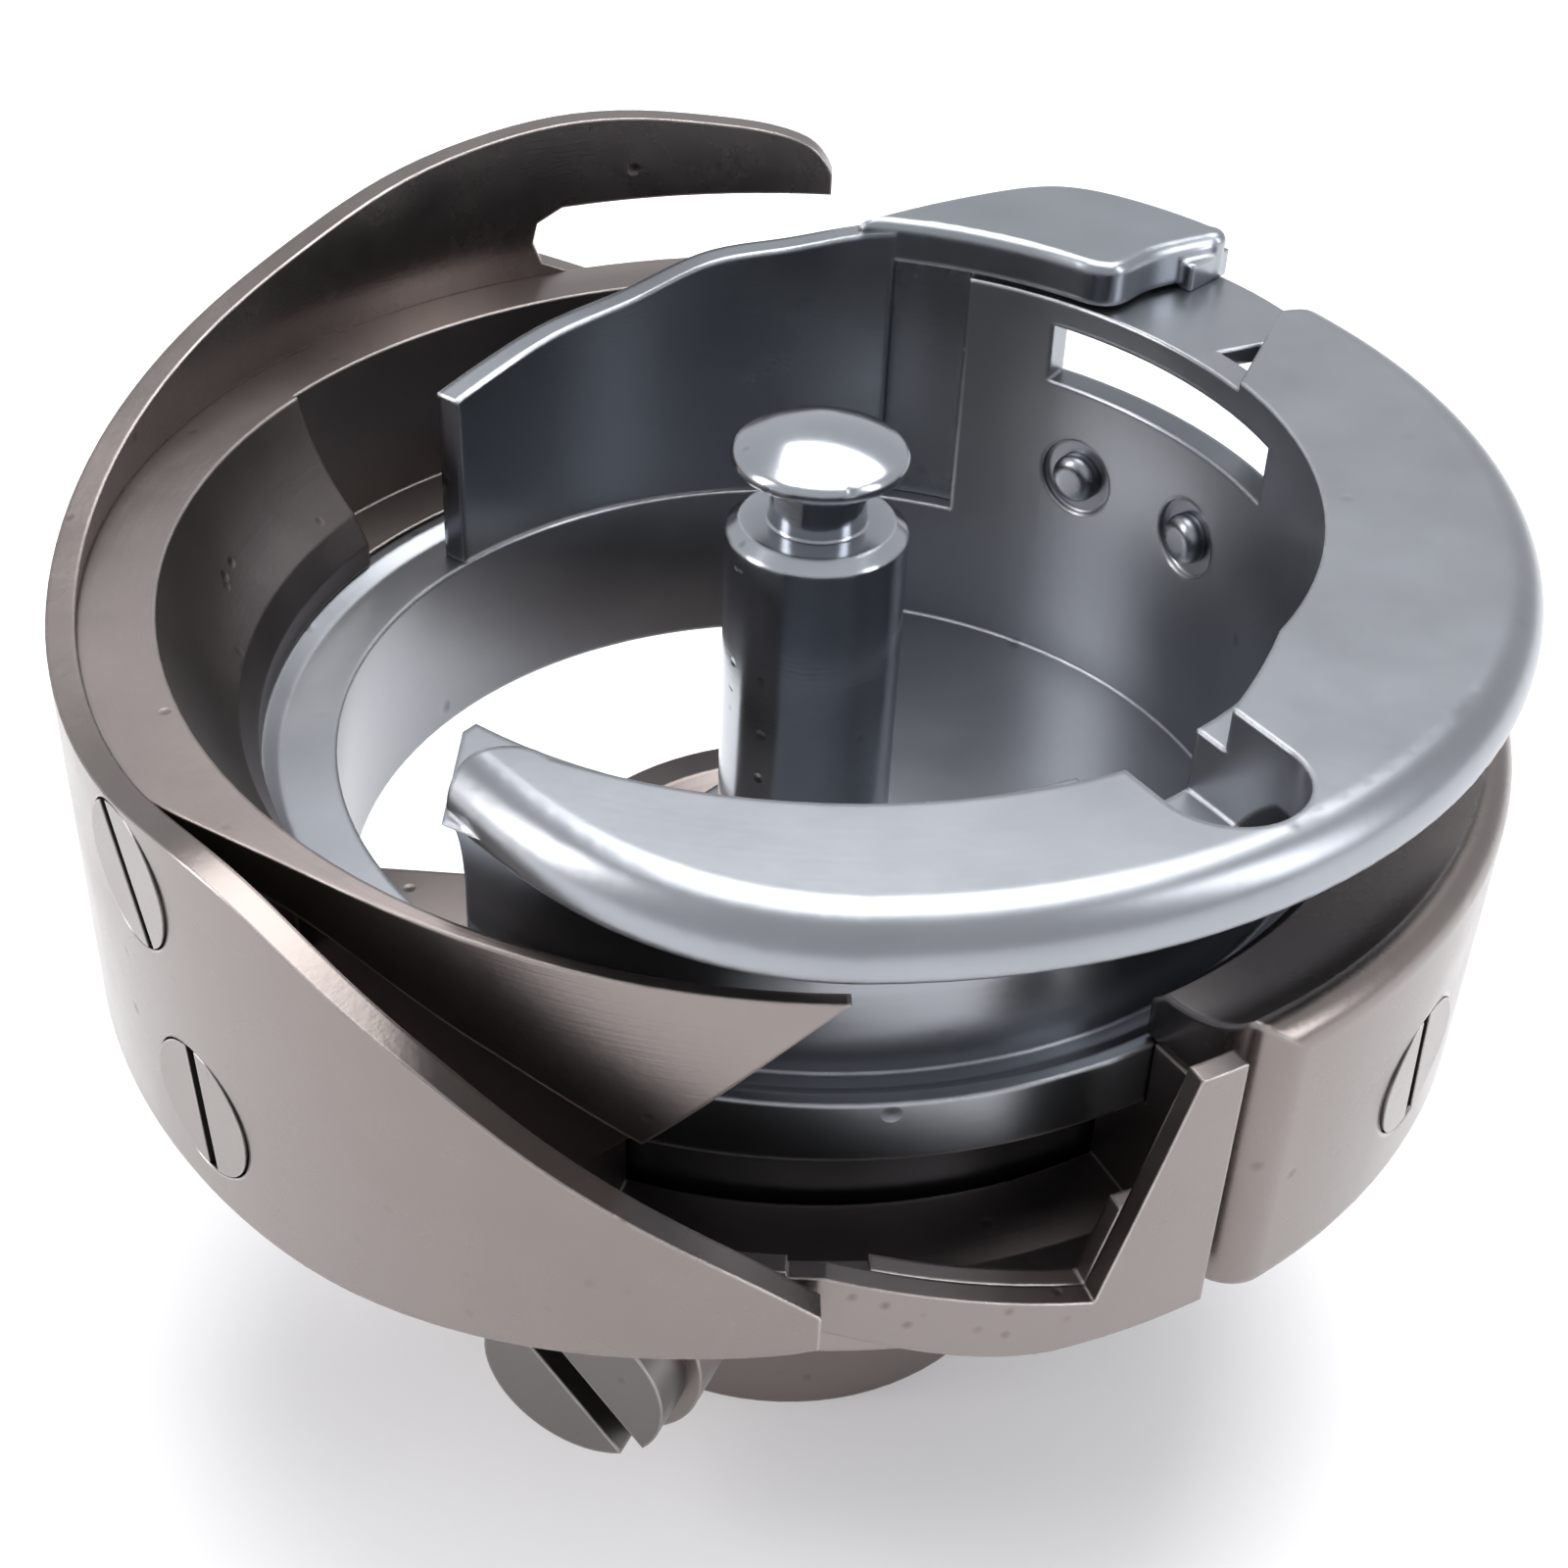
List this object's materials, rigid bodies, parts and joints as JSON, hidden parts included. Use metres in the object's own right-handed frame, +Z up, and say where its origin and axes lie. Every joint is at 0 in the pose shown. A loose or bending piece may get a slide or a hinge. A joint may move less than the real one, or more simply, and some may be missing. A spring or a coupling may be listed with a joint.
{
  "type": "rotary_sewing_hook",
  "caption": "Vertical-axis rotary sewing hook with guard leaf, raceway gib and a turning bobbin-case basket on a stud",
  "frame": {"origin": "on the hook-shaft axis at the lower face of the hub", "axes": "+Z up along the shaft towards the stud head; -Y faces the operator; +X to the right"},
  "size_m": [0.043, 0.044, 0.0334],
  "materials": {
    "hook_steel": "satin",
    "leaf_steel": "satin",
    "guard_steel": "satin",
    "gib_steel": "satin",
    "screw_steel": "satin",
    "clamp_steel": "satin",
    "felt": "matte",
    "basket_steel": "satin",
    "plate_steel": "satin",
    "rivet_steel": "satin",
    "stud_steel": "polished"
  },
  "bodies": {
    "hook": {"hook_body": "hook_steel", "guard_leaf": "leaf_steel", "needle_guard": "guard_steel", "raceway_gib": "gib_steel", "leaf_screw_upper": "screw_steel", "leaf_screw_lower": "screw_steel", "leaf_screw_back": "screw_steel", "gib_screw_front": "screw_steel", "gib_screw_back": "screw_steel", "clamp_screw_front": "clamp_steel", "clamp_screw_side": "clamp_steel", "oil_felt": "felt"},
    "basket": {"basket_body": "basket_steel", "position_plate": "plate_steel", "rivet_strap": "plate_steel", "wall_rivet_left": "rivet_steel", "wall_rivet_right": "rivet_steel", "centre_stud": "stud_steel", "stud_washer": "rivet_steel"}
  },
  "joints": [
    {"name": "basket_turn", "type": "hinge", "parent": "hook", "child": "basket", "pos_m": [0, 0, 0.0213], "axis": [0, 0, 1], "continuous": true}
  ]
}
